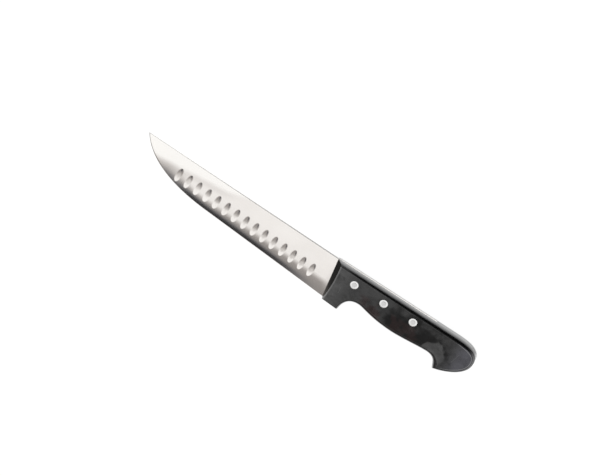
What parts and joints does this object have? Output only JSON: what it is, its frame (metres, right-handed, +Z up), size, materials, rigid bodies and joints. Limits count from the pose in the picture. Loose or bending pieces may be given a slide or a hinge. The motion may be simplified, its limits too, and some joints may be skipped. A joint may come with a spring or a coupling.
{
  "type": "butcher knife",
  "caption": "Butcher knife with a fluted, upswept steel blade whose tang is sandwiched between two black moulded handle scales held by flush metal rivets.",
  "frame": {"origin": "middle of the knife's box in plan, on the ground that the right handle scale rests on", "axes": "+X from the blade's tip to the butt along the spine, +Y from the cutting edge to the spine, +Z up through the handle's thickness, from the right scale to the left one"},
  "size_m": [0.316, 0.036, 0.016],
  "materials": {
    "ground_steel": "fine-ground stainless steel, bright on the flats and smoother in the flutes",
    "handle_plastic": "polished black moulded plastic",
    "rivet_metal": "bright turned rivet metal with a dished head"
  },
  "bodies": {
    "root": {"blade": "ground_steel", "scale_left": "handle_plastic", "scale_right": "handle_plastic", "rivet_pin_front": "rivet_metal", "rivet_pin_middle": "rivet_metal", "rivet_pin_rear": "rivet_metal", "rivet_tube_front": "rivet_metal", "rivet_tube_middle": "rivet_metal", "rivet_tube_rear": "rivet_metal"}
  },
  "joints": []
}
